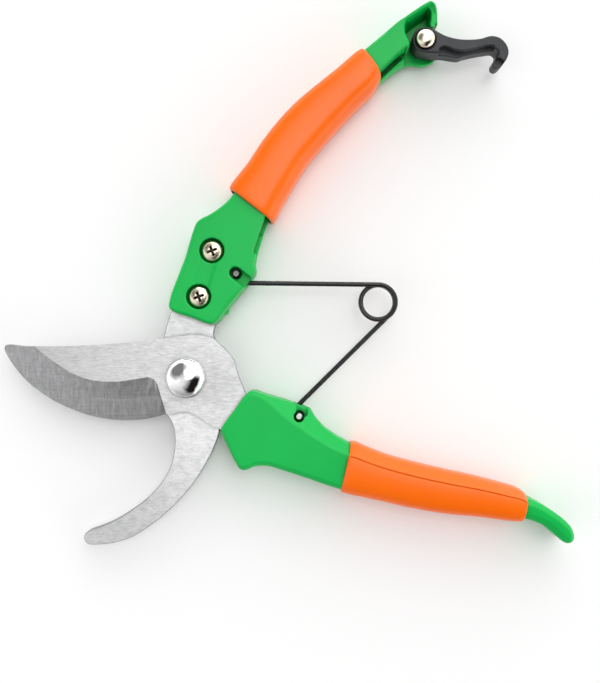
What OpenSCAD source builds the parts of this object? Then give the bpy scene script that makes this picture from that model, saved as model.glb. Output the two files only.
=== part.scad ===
// Bypass pruning shears, lying flat and open: two steel blades on a domed pivot bolt, moulded
// handles with slip-on sleeves, a hairpin spring with one coil and a swinging latch.
// Millimetres. The table is z = 0, +Z is up, the pivot axis is x = y = 0.

/* [Thicknesses] */
// height above the table of the plane where the two blades meet
mid_z = 7.8; // [6:0.1:10]
// half of a handle's thickness
handle_half = 6.5; // [5:0.1:8]
// half of a sleeve's thickness
grip_half = 7.8; // [6:0.1:10]
// thickness of each blade
blade_t = 3; // [2:0.1:4]
// gap left on each side of the split plane
split_gap = 0.05; // [0.02:0.01:0.2]

/* [Pivot] */
// radius of the pivot bolt's shank
bolt_r = 3; // [2:0.05:4]
// radial running clearance of the hook blade on the bolt
run_gap = 0.05; // [0.01:0.01:0.1]
// radius of the domed head
head_r = 6.5; // [4:0.1:9]
// height of the domed head
head_h = 3.2; // [1:0.1:5]
// width across the flats of the thin nut
nut_flats = 10; // [8:0.5:13]

/* [Spring] */
// radius of the spring wire
wire_r = 0.8; // [0.5:0.05:1.2]
// mean radius of the coil
coil_r = 5.75; // [4:0.05:8]
// height of each leg above or below the split plane
leg_z = 1.45; // [1:0.05:2]
// mean radius of the eye round the upper pin
upper_eye_r = 3; // [2:0.1:4]
// mean radius of the eye round the lower pin
lower_eye_r = 2.6; // [2:0.1:4]
// radius of the pins that hold the spring
pin_r = 1.1; // [0.8:0.05:1.5]

/* [Latch] */
// underside of the latch lever above the table
latch_low = 5; // [4:0.1:7]
// top of the latch lever above the table
latch_high = 12.3; // [10:0.1:14]
// radius of the rivet that it swings on
rivet_r = 2; // [1:0.05:3]

/* [Screws] */
// radius of a screw's head
screw_head_r = 3.6; // [3:0.1:4.5]
// radius of a screw's shank
screw_r = 1.95; // [1.5:0.05:2.5]
// depth of the counterbores
counterbore = 2.2; // [1:0.1:3]

/* [Hidden] */
steps = 3;
round_fn = 64;
handle_low = mid_z - handle_half;
handle_high = mid_z + handle_half;
blade_high = mid_z + split_gap + blade_t;
blade_low = mid_z - split_gap - blade_t;
fit_gap = 0.08;
upper_pin = [16.6, 34.4];
lower_pin = [37.4, -12.7];
coil = [63.7, 25.1];
latch_at = [78.8, 111.1];
upper_screw_at = [[4.7, 26.6], [9.0, 41.6]];
lower_screw_at = [[22.3, -15.3], [36, -22.8]];

steel = [0.72, 0.73, 0.75];
green = [0.0, 0.62, 0.28];
orange = [1.0, 0.42, 0.05];
dark = [0.13, 0.14, 0.17];
bright = [0.86, 0.86, 0.87];
yellowish = [0.8, 0.74, 0.6];

// cutting blade, from the tip along the edge to the tang and back along the spine
cutter_shape = [
  [-60.7, 9.6], [-58.9, 5.9], [-53.9, -0.5], [-49, -4.6], [-44, -7.8], [-39.1, -10.1],
  [-34.2, -12], [-29.2, -13.3], [-24.3, -14], [-19.3, -14.2], [-14.4, -13.9], [-9.5, -12.9],
  [-6.4, -12], [-4.5, -11.9], [-2.5, -11.3], [-0.5, -11.1], [1.4, -11.4], [3.4, -12.3],
  [5.4, -13.6], [7.4, -15], [9.3, -16.1], [11.5, -16.9], [15, -19.5], [24, -24.3],
  [36, -27.8], [44, -29.8], [47.5, -29.5], [48.6, -27.2], [47.2, -24.9], [40, -20.4],
  [33, -16.8], [27, -12.6], [22.5, -8], [19.6, -4.9], [18.7, -2.8], [17.4, 0.6],
  [16.4, 4.1], [15.3, 6.6], [13.3, 9], [10.8, 11.5], [9.3, 12.9], [6.4, 13.8],
  [3.4, 14.2], [0.4, 14], [-9.5, 12.7], [-19.3, 11.6], [-29.2, 10.9], [-39.1, 10.5],
  [-47, 10.4], [-53.9, 10.5], [-59.9, 10.9]];

// the hollow grind: where it starts on the flat and the edge it runs down to, heel to tip
grind_line = [
  [-9.4, -1.8, -6.3, -12.1], [-10.4, -0.4, -9.5, -13], [-12.4, 0.3, -14.4, -14],
  [-17.3, -0.5, -19.3, -14.3], [-21.6, -1.2, -24.3, -14.1], [-26.1, -1.3, -29.2, -13.4],
  [-30.4, -0.9, -34.2, -12.1], [-34.3, 0.2, -39.1, -10.2], [-37.7, 1.6, -44, -7.8],
  [-41.1, 3.8, -49, -4.6], [-44.1, 5.8, -53, -1.3], [-47, 8, -56.4, 2.3],
  [-50, 10.6, -58.9, 5.9], [-51.5, 13, -60.2, 8.6], [-53, 16, -61.4, 12]];

// hook blade, from its tip along the outer edge to the tang and back along the inner edge
hook_shape = [
  [-34.2, -54], [-33, -55.5], [-30, -55.7], [-26, -55.4], [-22, -54.5], [-18, -53],
  [-14, -50.6], [-10, -47.7], [-6, -44.3], [-2, -40.3], [2, -35.5], [5, -31],
  [7.5, -26.5], [9.5, -22], [10.6, -18.8], [11, -16.2], [11.8, -11], [12.8, -5],
  [12.9, 0], [12.2, 6], [10.6, 10.5], [9.3, 12.9], [8.9, 14.4], [9.1, 16.2],
  [9.8, 18], [10.6, 22], [11.4, 28], [12.3, 36], [13.6, 44], [14, 47],
  [12.8, 49], [9.5, 49.6], [5.5, 48.6], [3.8, 47], [2.4, 44], [0, 36],
  [-2.2, 28], [-4, 24], [-5.4, 21.5], [-6.6, 18], [-7.6, 14], [-8.6, 8],
  [-9, 2], [-8.8, -4], [-8, -9], [-6.8, -12.2], [-5.3, -14.4], [-4.3, -17.5],
  [-4, -21], [-4.3, -25], [-5.4, -29.5], [-7.7, -34], [-10.5, -37.5], [-14, -40.9],
  [-18, -43.9], [-22, -46.5], [-26, -48.6], [-30, -50.1], [-33, -51.3], [-34.1, -52.5]];

// handle and sleeve lists: x, y, share of the edge inset, depth of the inner chamfer
upper_common = [
  [-4.4, 22.2, 0.7, 0], [2, 19.9, 1, 0], [8.2, 17.7, 0.8, 0], [9.8, 18, 0.6, 0],
  [14.4, 23.8, 1, 0], [22.6, 33.9, 0.7, 0], [23.1, 35.2, 0.7, 1], [22.9, 38.2, 1, 2],
  [24.6, 44.6, 1, 4], [27.3, 52, 1, 4], [30.7, 57.7, 1, 4], [38.9, 71.4, 1, 4],
  [51.2, 85.6, 1, 4], [61.4, 95.7, 1, 3]];
upper_outer = [
  [64.5, 112, 1, 0], [58.9, 107.4, 1, 0], [50.8, 100.8, 1, 0], [38, 90.5, 1, 0],
  [26.3, 77.2, 1, 0], [20, 67.5, 1, 0], [16.2, 60.6, 1, 0], [13.3, 57.2, 1, 0],
  [8.3, 53.6, 0.9, 0], [4.6, 51.6, 0.7, 0], [3.4, 49.8, 0.7, 0], [0, 38.8, 1, 0],
  [-5.2, 24.2, 0.7, 0]];
front_end = [
  [66.5, 100.4, 1, 1], [71.9, 105.4, 0.9, 0], [73, 107.5, 0.7, 0], [73.5, 109.3, 0.7, 0],
  [72.2, 112.5, 1, 0], [72, 115, 0.8, 0], [72.4, 117.8, 0.3, 0], [70.3, 116.9, 0.5, 0]];
back_end = [
  [66.5, 100.4, 1, 1], [71, 103.9, 1, 0], [74.6, 105.5, 1, 0], [78, 105.1, 1, 0],
  [81.6, 105.8, 1, 0], [84.2, 108.5, 1, 0], [84.9, 112, 1, 0], [83.6, 115.6, 1, 0],
  [83, 119, 1, 0], [82.4, 122.4, 0.6, 0], [80.4, 123.7, 0.6, 0], [76, 121, 1, 0],
  [70.6, 117.1, 1, 0]];
upper_front_shape = concat(upper_common, front_end, upper_outer);
upper_back_shape = concat(upper_common, back_end, upper_outer);
wing_wall = [
  [73.1, 118.7], [76, 120.8], [80.2, 123.3], [81.8, 122.5], [82.3, 120.5], [81.7, 115.3],
  [80.6, 115.3], [80.9, 120], [79.9, 121.7], [76, 119.2], [73.1, 116.9]];

// lower handle: x, y, step in to the flat face, depth of the step down from it
lower_shape = [
  [11.8, -17.4, 1.1, 0.1, 1.2], [13.8, -21.9, 0.8, 0.4, 1.2], [17, -28.3, 0.9, 0.5, 1.2],
  [18.3, -29.9, 0.8, 1.2, 1.2], [20.2, -30, 0.2, 1.4, 1.2], [22.5, -29, 0.3, 1.4, 1.2],
  [26.5, -28.6, 0, 1.4, 1.2], [32, -30.1, 0.3, 1.4, 1.2], [40, -32.7, 0.4, 1.4, 1.2],
  [50, -36.1, 0.4, 1.4, 1.2], [62, -38.7, 0.3, 1.5, 1.2], [74, -41.3, 0.3, 1.5, 1.2],
  [86, -43.3, 0.2, 1.5, 1.2], [98, -44.5, 0.1, 1.6, 1.2], [108, -45.4, 0.3, 1.7, 1.2],
  [112.5, -46.2, 0.7, 1.8, 1.2], [117, -48, 1, 1.8, 1.2], [121, -51.1, 1.2, 1.6, 1.2],
  [123.6, -53.4, 1.1, 1.4, 1.2], [125.4, -54, 0.2, 1.4, 1.2], [127, -53.2, -0.9, 0.9, 1.2],
  [127.3, -51.4, -1.2, 0.2, 1.2], [126, -48.2, -1.1, -0.8, 1.2],
  [121, -43.9, -0.8, -1.3, 1.2], [115, -40.4, -0.6, -1.4, 1.4], [109, -38.3, -0.8, -2, 1.8],
  [105.6, -36.9, -0.8, -2.6, 2.6], [95.6, -34.2, -0.8, -2.8, 3.4],
  [85.4, -31.9, -0.8, -3, 4], [75.2, -29.5, -0.8, -3.1, 4.3], [65.9, -26.7, -1, -3.1, 4.5],
  [57.5, -23.4, -1.2, -2.6, 4.6], [50.2, -19.7, -1.6, -3.2, 4.8],
  [45, -15.9, -1.8, -3.8, 4.8], [42.1, -12.2, -2.6, -5.2, 4.9],
  [41.2, -10.6, -3.4, -5.4, 4.9], [39.9, -9.9, -4, -5, 4.8], [36, -8.5, -3.6, -3.8, 4.2],
  [31, -6.9, -2.2, -2.1, 2.6], [26, -5.4, -0.6, -1, 1.3], [22.5, -4.2, 0, -1.2, 1.2],
  [20.6, -4.7, 0.5, -1.1, 1.2], [16.2, -10.4, 0.9, -0.6, 1.2], [12, -16.3, 1, -0.3, 1.2]];

upper_grip_shape = [
  [28, 51.4, 0.3, 0], [29.4, 51.6, 0.35, 0.6], [31.9, 57, 0.9, 4], [34.5, 61.5, 1, 5],
  [40, 70.5, 1, 5], [46.1, 77.7, 1, 5], [52.2, 84.6, 1, 5], [57.8, 90.5, 1, 5],
  [62.6, 94.9, 0.9, 3.6], [64.3, 97.2, 0.7, 2], [64.6, 99.3, 0.7, 1], [63.5, 101.5, 0.9, 0],
  [60.5, 105.5, 0.8, 0], [58.6, 107.6, 0.5, 0], [57.2, 107.9, 0.6, 0], [49.8, 101.8, 1, 0],
  [43.4, 96.7, 1, 0], [37, 91.4, 1, 0], [31.1, 85.4, 1, 0], [25.2, 78, 1, 0],
  [20.3, 70.6, 1, 0], [14.8, 63.6, 0.7, 0], [14.4, 62.2, 0.5, 0], [15.2, 60.9, 0.6, 0],
  [21.5, 56.2, 0.9, 0]];
lower_grip_shape = [
  [50.8, -37.3, 0.15, 0], [52.3, -38, 0.3, 0], [61.6, -40, 1, 0], [73.5, -42.7, 1, 0],
  [85.3, -44.7, 1, 0], [97.1, -45.8, 1, 0], [106.9, -47.1, 0.9, 0], [109.4, -47.3, 0.7, 0],
  [110.7, -46.7, 0.6, 0], [112, -43, 0.8, 0], [112.6, -40, 0.5, 0],
  [112.2, -37.9, 0.35, 0.2], [109.7, -36.5, 0.6, 1.2], [106, -35.4, 0.9, 2.6],
  [95.9, -32.7, 1, 4], [85.7, -30.5, 1, 4.6], [75.6, -28.1, 1, 5], [66.4, -25.5, 1, 5],
  [59, -22.6, 0.9, 3.8], [55.8, -21.3, 0.4, 0.8], [54.7, -22.2, 0.3, 0.2],
  [53.6, -29.6, 0.8, 0], [51.9, -34.5, 0.6, 0]];

// latch lever, from the end wall over the arm to the claw and back underneath
latch_shape = [
  [79.5, 115.2, 1], [81.3, 114.6, 1], [85.2, 112.5, 1], [89.1, 111.4, 1], [93, 111.1, 1],
  [97, 111.4, 1], [100.4, 112.3, 1], [103.3, 111.7, 1], [105.6, 109.3, 1],
  [106.2, 107.2, 1], [105.8, 105.2, 1], [104, 102.7, 0.7], [102.7, 102, 0.5],
  [101.5, 102.6, 0.5], [101.3, 103.9, 0.7], [102.3, 105.4, 1], [102.7, 107, 1],
  [101.7, 108, 1], [98.9, 107.8, 1], [95, 107.1, 1], [92, 106.4, 1], [90.6, 105.9, 1],
  [89.1, 105.9, 1], [85.2, 106.5, 1], [81.5, 106.6, 1], [78.8, 106.8, 1],
  [75.8, 107.9, 1], [74.5, 111.1, 1], [75.9, 114.3, 1]];

// ---- curves through control points: every column of a point is carried along ----
function knot(a, b) = max(0.01, pow(norm([b[0] - a[0], b[1] - a[1]]), 0.5));
function between(p0, p1, p2, p3, u) =
  let (t1 = knot(p0, p1), t2 = t1 + knot(p1, p2), t3 = t2 + knot(p2, p3),
       t = t1 + (t2 - t1) * u,
       a1 = p0 * (t1 - t) / t1 + p1 * t / t1,
       a2 = p1 * (t2 - t) / (t2 - t1) + p2 * (t - t1) / (t2 - t1),
       a3 = p2 * (t3 - t) / (t3 - t2) + p3 * (t - t2) / (t3 - t2),
       b1 = a1 * (t2 - t) / t2 + a2 * t / t2,
       b2 = a2 * (t3 - t) / (t3 - t1) + a3 * (t - t1) / (t3 - t1))
  b1 * (t2 - t) / (t2 - t1) + b2 * (t - t1) / (t2 - t1);
function loop(p, s = steps) = let (n = len(p))
  [for (i = [0:n - 1], k = [0:s - 1])
    between(p[(i + n - 1) % n], p[i], p[(i + 1) % n], p[(i + 2) % n], k / s)];
function backwards(p) = [for (i = [len(p) - 1:-1:0]) p[i]];
function flat(p) = [for (q = p) [q[0], q[1]]];
function inward(p, i) = let (n = len(p), a = p[(i + n - 1) % n], b = p[(i + 1) % n],
  t = [b[0] - a[0], b[1] - a[1]]) [-t[1], t[0]] / norm(t);
// a ring moved in by each point's own distance d[i], at each point's own height z[i]
function ring(p, d, z) = [for (i = [0:len(p) - 1]) let (q = inward(p, i))
  [p[i][0] + q[0] * d[i], p[i][1] + q[1] * d[i], z[i]]];
function same(p, v) = [for (q = p) v];
function rotated(p, a) = [p[0] * cos(a) - p[1] * sin(a), p[0] * sin(a) + p[1] * cos(a)];
function polar(c, r, a) = [c[0] + r * cos(a), c[1] + r * sin(a)];

// a closed solid through rings of equal length, listed from the bottom up
// (resize() with zeros changes no size; it has the two caps, which are not convex, split soundly)
module skin(rings) {
  n = len(rings[0]);
  m = len(rings);
  sides = [for (k = [0:m - 2], i = [0:n - 1], half = [0, 1]) let (j = (i + 1) % n)
    half == 0 ? [k * n + i, (k + 1) * n + i, (k + 1) * n + j]
              : [k * n + i, (k + 1) * n + j, k * n + j]];
  resize([0, 0, 0]) polyhedron([for (r = rings) each r],
    concat([[for (i = [0:n - 1]) i]], sides, [[for (i = [n - 1:-1:0]) (m - 1) * n + i]]));
}

module disc(at, r, z0, z1) {
  translate([at[0], at[1], z0]) cylinder(r = r, h = z1 - z0, $fn = round_fn);
}

module slab(points, z0, z1) {
  translate([0, 0, z0]) linear_extrude(z1 - z0) polygon(points);
}

// ---- handle halves as rings ----
function plain_inset(p) = [for (q = p) 0.8 * q[2]];
function deep_inset(p) = [for (q = p) 0.8 * q[2] + 0.75 * q[3]];
function less(d, g) = [for (v = d) v - g];

module upper_front_solid() {
  p = loop(upper_front_shape);
  skin([ring(p, same(p, 0), same(p, mid_z)),
    ring(p, same(p, 0), same(p, handle_high - 1)),
    ring(p, plain_inset(p), same(p, handle_high))]);
}

module upper_back_solid() {
  p = loop(upper_back_shape);
  skin([ring(p, deep_inset(p), same(p, handle_low)),
    ring(p, same(p, 0), [for (q = p) handle_low + 1 + q[3]]),
    ring(p, same(p, 0), same(p, mid_z))]);
}

module lower_front_solid() {
  p = loop(lower_shape);
  skin([ring(p, same(p, 0), same(p, mid_z)),
    ring(p, same(p, 0), [for (q = p) handle_high - q[4]]),
    [for (q = p) [q[0] + q[2], q[1] + q[3], handle_high]]]);
}

module lower_back_solid() {
  p = loop(lower_shape);
  skin([[for (q = p) let (s = min(1, 1.2 / q[4])) [q[0] + q[2] * s, q[1] + q[3] * s, handle_low]],
    ring(p, same(p, 0), same(p, handle_low + 1.2)),
    ring(p, same(p, 0), same(p, mid_z))]);
}

// ---- blades ----
module cutting_blade() color(steel) difference() {
  slab(flat(loop(cutter_shape)), mid_z + split_gap, blade_high);
  grind();
  disc([0, 0], bolt_r + 0.02, mid_z - 1, blade_high + 1);
  for (s = lower_screw_at) disc(s, screw_r + 0.15, mid_z - 1, blade_high + 1);
}

// a tool that hollows the blade's face from the grind line down to a thin edge
module grind() {
  edge_z = mid_z + split_gap + 0.35;
  n = len(grind_line);
  points = [for (g = grind_line) let (a = [g[0], g[1]], b = [g[2], g[3]], u = (b - a) / norm(b - a),
      m = a + (b - a) * 0.45, e = b + u * 2)
    each [[a[0] - u[0] * 0.2, a[1] - u[1] * 0.2, blade_high + 0.05],
      [m[0], m[1], edge_z + (blade_high - edge_z) * 0.44], [b[0], b[1], edge_z],
      [e[0], e[1], edge_z - 0.05], [e[0], e[1], blade_high + 1],
      [a[0] - u[0] * 0.2, a[1] - u[1] * 0.2, blade_high + 1]]];
  sides = [for (k = [0:n - 2], i = [0:5], half = [0, 1]) let (j = (i + 1) % 6)
    half == 0 ? [k * 6 + i, (k + 1) * 6 + j, (k + 1) * 6 + i]
              : [k * 6 + i, k * 6 + j, (k + 1) * 6 + j]];
  polyhedron(points, concat([[0, 1, 2, 3, 4, 5]], sides,
    [[for (i = [5:-1:0]) (n - 1) * 6 + i]]));
}

module hook_blade() color(steel) difference() {
  slab(flat(loop(hook_shape)), blade_low, mid_z - split_gap);
  disc([0, 0], bolt_r + run_gap, blade_low - 1, mid_z + 1);
  for (s = upper_screw_at) disc(s, screw_r + 0.15, blade_low - 1, mid_z + 1);
}

// ---- pivot ----
module pivot_bolt() color(bright) {
  rotate_extrude($fn = round_fn) polygon(concat([[0, 0], [bolt_r - 0.3, 0], [bolt_r, 0.3],
    [bolt_r, blade_high], [head_r - 0.4, blade_high], [head_r, blade_high + 0.4],
    [head_r, blade_high + 0.7]],
    [for (a = [12:12:84]) [head_r * cos(a), blade_high + 0.7 + (head_h - 0.7) * sin(a)]],
    [[0, blade_high + head_h]]));
}

module pivot_washer() color(bright) difference() {
  disc([0, 0], 6.6, 3.95, blade_low - 0.05);
  disc([0, 0], bolt_r + 0.1, 3, blade_low + 1);
}

module pivot_nut() color(bright) difference() {
  intersection() {
    translate([0, 0, 0.6]) cylinder(d = nut_flats / cos(30), h = 3.3, $fn = 6);
    translate([0, 0, 0.6]) cylinder(r1 = nut_flats / 2, r2 = nut_flats / 2 + 5, h = 5, $fn = round_fn);
  }
  disc([0, 0], bolt_r + 0.02, 0, 5);
}

// ---- screws ----
// a cross-head pan screw standing on its head's underside at z = 0, shank down
module pan_screw(length) {
  difference() {
    rotate_extrude($fn = round_fn) polygon([[0, -length], [screw_r - 0.9, -length],
      [screw_r, -length + 1.6], [screw_r, 0], [screw_head_r - 0.1, 0], [screw_head_r, 0.3],
      [screw_head_r - 0.05, 0.8], [screw_head_r - 0.5, 1.4], [screw_head_r - 1.3, 1.8],
      [screw_head_r - 2.3, 2], [0, 2]]);
    for (a = [0, 90]) rotate([0, 0, a]) translate([0, 0, 0.7])
      rotate([90, 0, 0]) translate([0, 0, -0.45]) linear_extrude(0.9)
        polygon([[-0.9, 0], [0.9, 0], [2.1, 1.5], [-2.1, 1.5]]);
  }
}

module upper_screws() color(yellowish) for (s = upper_screw_at)
  translate([s[0], s[1], handle_high - counterbore]) rotate([0, 0, 20]) pan_screw(9.4);

module lower_screws() color(yellowish) for (s = lower_screw_at)
  translate([s[0], s[1], handle_low + counterbore]) rotate([180, 0, 35]) pan_screw(9.4);

// ---- upper arm ----
module upper_channel() {
  slab([[18.5, 52.5], [19.6, 60], [22.8, 66], [28.8, 75.4], [40, 88.1], [52.6, 98.2],
    [57, 101.6], [64.5, 93.5], [53.5, 83], [41.5, 69.5], [33.5, 56], [30, 47.5], [24, 47.5]],
    mid_z - 3.2, mid_z + 3.2);
}

module upper_handle_front() color(green) difference() {
  upper_front_solid();
  upper_channel();
  for (s = upper_screw_at) {
    disc(s, screw_r + 0.1, mid_z - 1, handle_high + 1);
    disc(s, screw_head_r + 0.5, handle_high - counterbore, handle_high + 1);
  }
  link = upper_screw_at[1] - upper_screw_at[0];
  side = [-link[1], link[0]] / norm(link) * 2.6;
  slab([upper_screw_at[0] + side, upper_screw_at[0] - side, upper_screw_at[1] - side,
    upper_screw_at[1] + side], handle_high - 0.5, handle_high + 1);
  disc(upper_pin, 2, mid_z - 1, handle_high + 1);
  notch(upper_pin, -38.3, 9, 2, mid_z + 3.2);
  eye_slot(upper_pin, upper_eye_r + 2, -52, 64, mid_z - 1, mid_z + 2.6);
}

// a groove of half width w that runs from a pin towards angle a
module notch(at, a, length, w, z0) {
  translate([at[0], at[1], z0]) rotate([0, 0, a]) translate([0, -w, 0])
    cube([length, 2 * w, 10]);
}

// room for a spring eye and for its leg to swing between two angles
module eye_slot(at, r, a0, a1, z0, z1) {
  disc(at, r, z0, z1);
  slab(concat([at], [for (k = [0:8]) polar(at, 30, a0 + (a1 - a0) * k / 8)]), z0, z1);
}

module upper_handle_back() color(green) union() {
  difference() {
    upper_back_solid();
    upper_channel();
    pocket(hook_shape, blade_low - fit_gap, mid_z + 1);
    for (s = upper_screw_at) disc(s, screw_r + 0.05, 2.4, mid_z + 1);
    disc(upper_pin, pin_r + 0.02, 2.3, mid_z + 1);
    // the end is cut down to a flange that carries the latch
    slab([[72.6, 95], [72.6, 130], [95, 130], [95, 95]], 4.5, mid_z + 1);
    disc(latch_at, rivet_r + 0.02, 0, mid_z + 1);
  }
  difference() {
    union() {
      slab(flat(loop(backwards(wing_wall))), 4.3, mid_z + 3.8);
      disc(latch_at, 3.6, 4.3, latch_low - 0.1);
    }
    disc(latch_at, rivet_r + 0.02, 0, mid_z + 1);
  }
  // bumper that meets the other handle when the shears close
  intersection() {
    disc([12.1, 22.75], 1.9, 3, 6.8);
    slab([[12.3, 20.4], [11.4, 21.6], [12, 25.6], [17, 23]], 2, 8);
  }
}

// a blade's outline, grown a little so that the tang drops in
module pocket(shape, z0, z1) {
  p = loop(shape);
  slab([for (r = ring(p, same(p, -fit_gap), same(p, 0))) [r[0], r[1]]], z0, z1);
}

module upper_spring_pin() color(bright) disc(upper_pin, pin_r, 2.3, mid_z + 3);

// ---- sleeves ----
grip_levels = [[-1, 2.3], [-0.91, 1.1], [-0.74, 0.35], [-0.36, 0], [0.36, 0],
  [0.74, 0.35], [0.91, 1.1], [1, 2.3]];

// side is 1 for an inner chamfer on the top and -1 for one on the underside
module sleeve(shape, side) {
  p = loop(shape, 2);
  skin([for (l = grip_levels) let (z = mid_z + l[0] * grip_half, k = max(0, l[0] * side - 0.36) / 0.64)
    ring(p, [for (q = p) l[1] * q[2] * (1 - 0.12 * q[3] * k) + 0.8 * q[3] * k], same(p, z))]);
}

// the handle's outside as one solid, grown by g, for hollowing a sleeve
module upper_core(g) {
  p = loop(upper_front_shape);
  skin([ring(p, less(deep_inset(p), g), same(p, handle_low - g)),
    ring(p, same(p, -g), [for (q = p) handle_low + 1 + q[3]]),
    ring(p, same(p, -g), same(p, handle_high - 1)),
    ring(p, less(plain_inset(p), g), same(p, handle_high + g))]);
}

module lower_core(g) {
  p = loop(lower_shape);
  skin([[for (i = [0:len(p) - 1]) let (q = p[i], s = min(1, 1.2 / q[4]), o = inward(p, i))
      [q[0] + q[2] * s - o[0] * g, q[1] + q[3] * s - o[1] * g, handle_low - g]],
    ring(p, same(p, -g), same(p, handle_low + 1.2)),
    ring(p, same(p, -g), [for (q = p) handle_high - q[4]]),
    ring([for (q = p) [q[0] + q[2], q[1] + q[3]]], same(p, -g), same(p, handle_high + g))]);
}

module upper_grip() color(orange) difference() {
  sleeve(upper_grip_shape, -1);
  upper_core(fit_gap);
}

module lower_grip() color(orange) difference() {
  sleeve(lower_grip_shape, 1);
  lower_core(fit_gap);
}

// ---- lower arm ----
module lower_channel() {
  slab([[51.5, -33.8], [62, -36], [74, -38.6], [86, -40.6], [98, -41.9], [106, -42.7],
    [104.5, -39.8], [95.4, -37.4], [85, -35.2], [74.4, -32.8], [64.8, -30.2], [55, -27.8]],
    mid_z - 3, mid_z + 2.4);
}

module lower_handle_front() color(green) difference() {
  lower_front_solid();
  lower_channel();
  pocket(cutter_shape, mid_z - 1, blade_high + fit_gap);
  for (s = lower_screw_at) disc(s, screw_r + 0.05, mid_z - 1, 13.1);
  disc(lower_pin, 1.8, mid_z - 1, handle_high + 1);
  notch(lower_pin + [0.9, 0], 90, 9, 1.9, mid_z + 3.2);
}

module lower_handle_back() color(green) difference() {
  lower_back_solid();
  lower_channel();
  for (s = lower_screw_at) {
    disc(s, screw_r + 0.1, 0, mid_z + 1);
    disc(s, screw_head_r + 0.5, 0, handle_low + counterbore);
  }
  disc(lower_pin, pin_r + 0.02, 2.3, mid_z + 1);
  eye_slot(lower_pin, lower_eye_r + 2, -25, 52, mid_z - 2.6, mid_z + 1);
}

module lower_spring_pin() color(bright) disc(lower_pin, pin_r, 2.3, mid_z + 3.7);

// ---- latch ----
module latch_lever() color(dark) difference() {
  p = loop(backwards(latch_shape));
  skin([ring(p, [for (q = p) 0.4 * q[2]], same(p, latch_low)),
    ring(p, same(p, 0), same(p, latch_low + 0.4)),
    ring(p, same(p, 0), same(p, latch_high - 0.6)),
    ring(p, [for (q = p) 0.6 * q[2]], same(p, latch_high))]);
  disc(latch_at, rivet_r + run_gap, latch_low - 1, latch_high + 1);
}

module latch_rivet() color(yellowish) translate([latch_at[0], latch_at[1], 0])
  rotate_extrude($fn = round_fn) polygon([[0, handle_low], [rivet_r, handle_low],
    [rivet_r, latch_high + 0.1], [3, latch_high + 0.1], [3, latch_high + 0.9],
    [2.6, latch_high + 1.5], [1.8, latch_high + 1.9], [0, latch_high + 2]]);

// ---- spring: one wire, in two pieces that turn with its two legs ----
to_upper = coil - upper_pin;
to_lower = lower_pin - coil;
upper_dir = atan2(to_upper[1], to_upper[0]) + asin((upper_eye_r + coil_r) / norm(to_upper));
lower_dir = atan2(to_lower[1], to_lower[0]) - asin((lower_eye_r + coil_r) / norm(to_lower));
coil_start = upper_dir + 90;
coil_turn = (upper_dir - lower_dir + 1080) % 360 + 360;
wire_fn = 12;
half_gap = 0.15 / coil_r * 57.3;

function coil_point(t) = let (q = polar(coil, coil_r, coil_start - t))
  [q[0], q[1], mid_z + leg_z - 2 * leg_z * t / coil_turn];
function eye_point(c, r, a, z) = let (q = polar(c, r, a)) [q[0], q[1], z];

upper_path = concat(
  [for (a = [300:-15:0]) eye_point(upper_pin, upper_eye_r, upper_dir - 90 - a, mid_z + leg_z)],
  [for (t = [0:9:coil_turn / 2 - half_gap - 4]) coil_point(t)],
  [coil_point(coil_turn / 2 - half_gap)]);
lower_path = concat(
  [coil_point(coil_turn / 2 + half_gap)],
  [for (t = [coil_turn / 2 + half_gap + 8:9:coil_turn - 4]) coil_point(t)],
  [coil_point(coil_turn)],
  [for (a = [0:15:300]) eye_point(lower_pin, lower_eye_r, lower_dir - 90 + a, mid_z - leg_z)]);

module wire(path) {
  n = len(path);
  rings = [for (k = [0:n - 1]) let (
      a = path[max(0, k - 1)], b = path[min(n - 1, k + 1)], t = (b - a) / norm(b - a),
      s = [t[1], -t[0], 0] / norm([t[0], t[1]]), v = cross(s, t))
    [for (i = [0:wire_fn - 1]) path[k] + (s * cos(i * 30) + v * sin(i * 30)) * wire_r]];
  skin(rings);
}

module spring_upper_leg() color(dark) wire(upper_path);
module spring_lower_leg() color(dark) wire(lower_path);

cutting_blade();
hook_blade();
pivot_bolt();
pivot_washer();
pivot_nut();
lower_handle_front();
lower_handle_back();
lower_grip();
lower_screws();
lower_spring_pin();
upper_handle_front();
upper_handle_back();
upper_grip();
upper_screws();
upper_spring_pin();
latch_lever();
latch_rivet();
spring_upper_leg();
spring_lower_leg();
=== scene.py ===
"""Looks for the pruning shears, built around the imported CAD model.

Lengths are metres in the CAD frame; shape lists are millimetres and pass through MM.
The shears lie flat on the floor at z = 0 and the camera looks straight down on them.
"""
import math

import bmesh
import bpy
import numpy as np
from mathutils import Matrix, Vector


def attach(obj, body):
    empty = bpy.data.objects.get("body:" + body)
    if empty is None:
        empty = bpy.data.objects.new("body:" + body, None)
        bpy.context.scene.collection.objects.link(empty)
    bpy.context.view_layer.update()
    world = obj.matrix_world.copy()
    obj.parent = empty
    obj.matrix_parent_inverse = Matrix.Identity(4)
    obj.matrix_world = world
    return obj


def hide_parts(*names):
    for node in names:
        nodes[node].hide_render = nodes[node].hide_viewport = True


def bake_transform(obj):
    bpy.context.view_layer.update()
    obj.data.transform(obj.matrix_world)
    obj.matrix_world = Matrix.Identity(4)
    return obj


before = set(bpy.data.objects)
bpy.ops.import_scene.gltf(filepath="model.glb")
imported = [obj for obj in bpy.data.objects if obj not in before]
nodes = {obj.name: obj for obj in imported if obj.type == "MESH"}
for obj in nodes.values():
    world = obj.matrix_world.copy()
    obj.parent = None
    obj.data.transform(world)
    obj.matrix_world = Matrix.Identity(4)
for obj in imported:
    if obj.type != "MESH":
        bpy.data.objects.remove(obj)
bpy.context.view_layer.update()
MM = 0.001
MID = 7.8            # mm, plane where the two blades meet
GRIP_HALF = 7.8      # mm, half a sleeve's thickness
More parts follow.
